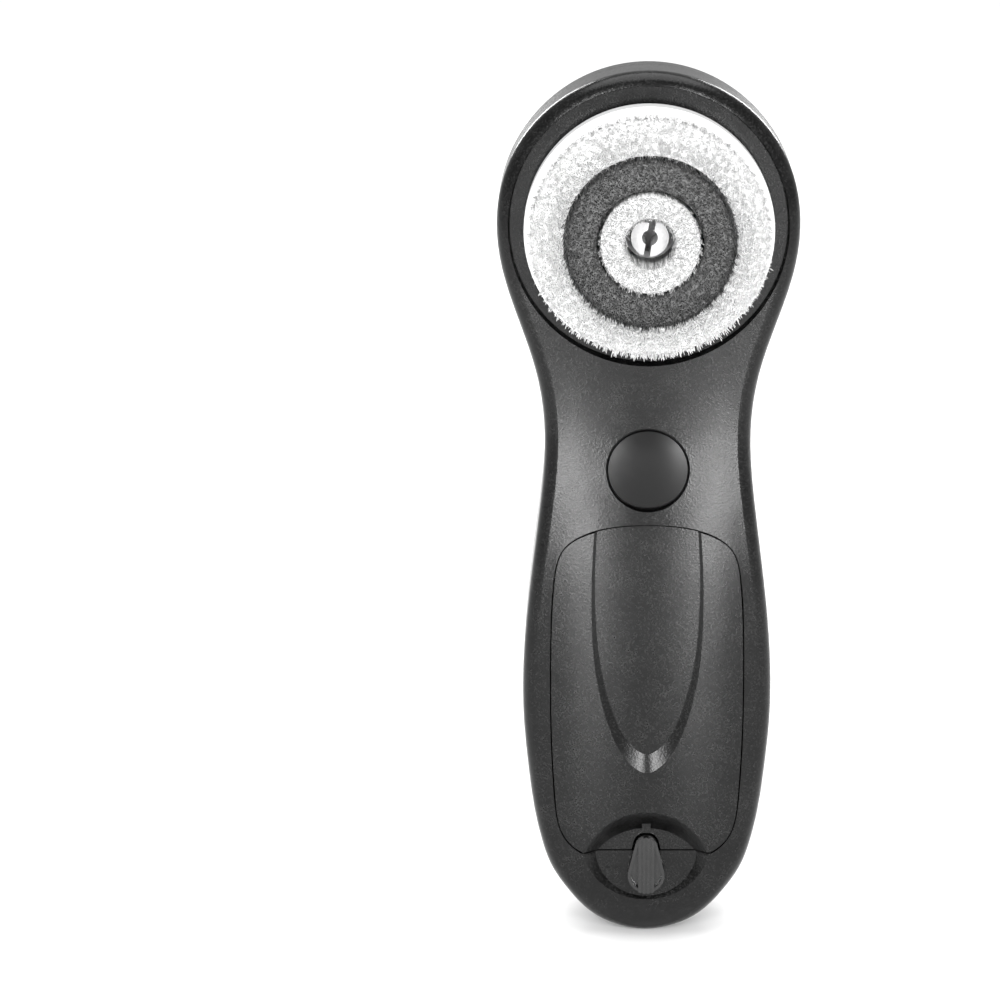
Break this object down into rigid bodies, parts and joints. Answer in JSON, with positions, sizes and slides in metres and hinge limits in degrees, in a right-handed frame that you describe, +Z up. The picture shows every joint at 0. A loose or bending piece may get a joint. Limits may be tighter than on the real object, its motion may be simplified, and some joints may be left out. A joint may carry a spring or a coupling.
{
  "type": "facial cleansing brush",
  "caption": "Battery-powered facial cleansing brush: a waisted handle with a round head and a spinning bristle brush, a round power button, a scalloped battery door and a turn latch.",
  "frame": {"origin": "lowest point of the rounded lower end of the handle, on the plane of symmetry at the shell seam", "axes": "+Z up along the handle from its rounded end to the head, the brush faces -Y, X runs from side to side and the body is symmetric about X = 0"},
  "size_m": [0.0622, 0.0543, 0.186],
  "materials": {
    "shell": "satin",
    "door": "satin",
    "button": "satin",
    "latch": "satin",
    "seal": "matte",
    "white_plastic": "gloss",
    "spindle_plastic": "satin",
    "white_bristle": "matte",
    "dark_bristle": "matte",
    "gear_plastic": "satin",
    "brass": "satin",
    "steel": "satin",
    "motor_body": "satin",
    "contact": "polished",
    "frame_plastic": "matte",
    "board": "satin",
    "component": "matte",
    "bay_plastic": "matte",
    "cell_jacket": "satin",
    "wire_red": "satin",
    "wire_black": "satin"
  },
  "bodies": {
    "handle": {"front_shell": "shell", "rear_shell": "shell", "shell_gasket": "seal", "head_screws": "steel", "latch_seal": "seal", "button_boot": "seal", "tact_switch": "component", "circuit_board": "board", "board_parts": "component", "board_screws": "steel", "gear_axle": "steel", "motor_can": "motor_body", "motor_end_cap": "frame_plastic", "motor_tags": "contact", "gear_frame": "frame_plastic", "gear_cover": "frame_plastic", "gearbox_screws": "steel", "motor_screws": "steel", "front_bush": "brass", "rear_bush": "brass", "spindle_seal": "seal", "battery_bay": "bay_plastic", "lower_contacts": "contact", "upper_contacts": "contact", "contact_springs": "contact", "battery_cell_1": "cell_jacket", "battery_cell_2": "cell_jacket", "battery_cell_3": "cell_jacket", "battery_cell_4": "cell_jacket", "motor_lead_red": "wire_red", "motor_lead_black": "wire_black", "battery_lead_red": "wire_red", "battery_lead_black": "wire_black"},
    "spindle": {"drive_spindle": "spindle_plastic", "output_gear": "gear_plastic", "spindle_clip": "steel"},
    "idler": {"crown_gear": "gear_plastic"},
    "rotor": {"motor_shaft": "steel", "motor_pinion": "brass"},
    "brush_head": {"brush_base": "white_plastic", "inner_bristles": "white_bristle", "dark_bristles": "dark_bristle", "outer_bristles": "white_bristle"},
    "button": {"power_button": "button", "switch_plunger": "component"},
    "door": {"battery_door": "door", "door_gasket": "seal"},
    "latch": {"latch_knob": "latch", "latch_cam": "frame_plastic", "latch_screw": "steel"}
  },
  "joints": [
    {"name": "spindle_spin", "type": "hinge", "parent": "handle", "child": "spindle", "pos_m": [0, 0, 0.1545], "axis": [0, -1, 0], "continuous": true},
    {"name": "idler_spin", "type": "hinge", "parent": "handle", "child": "idler", "pos_m": [0, 0, 0.1347], "axis": [0, -1, 0], "continuous": true},
    {"name": "rotor_spin", "type": "hinge", "parent": "handle", "child": "rotor", "pos_m": [0, 0.0024, 0.0965], "axis": [0, 0, 1], "continuous": true},
    {"name": "brush_pull", "type": "slide", "parent": "spindle", "child": "brush_head", "axis": [0, -1, 0], "range_m": [0, 0.015]},
    {"name": "button_press", "type": "slide", "parent": "handle", "child": "button", "axis": [0, 1, 0], "range_m": [0, 0.0006], "stiffness_N_per_m": 600, "springref_m": -0.0005},
    {"name": "door_open", "type": "hinge", "parent": "handle", "child": "door", "pos_m": [0, -0.0165, 0.0926], "axis": [-1, 0, 0], "range_deg": [0, 55]},
    {"name": "latch_turn", "type": "hinge", "parent": "handle", "child": "latch", "pos_m": [0, -0.0139, 0.0165], "axis": [0, -1, 0], "range_deg": [0, 90]}
  ],
  "couplings": [
    {"joint": "idler_spin", "follows": "spindle_spin", "ratio": -4.5},
    {"joint": "rotor_spin", "follows": "spindle_spin", "ratio": -16.2}
  ]
}
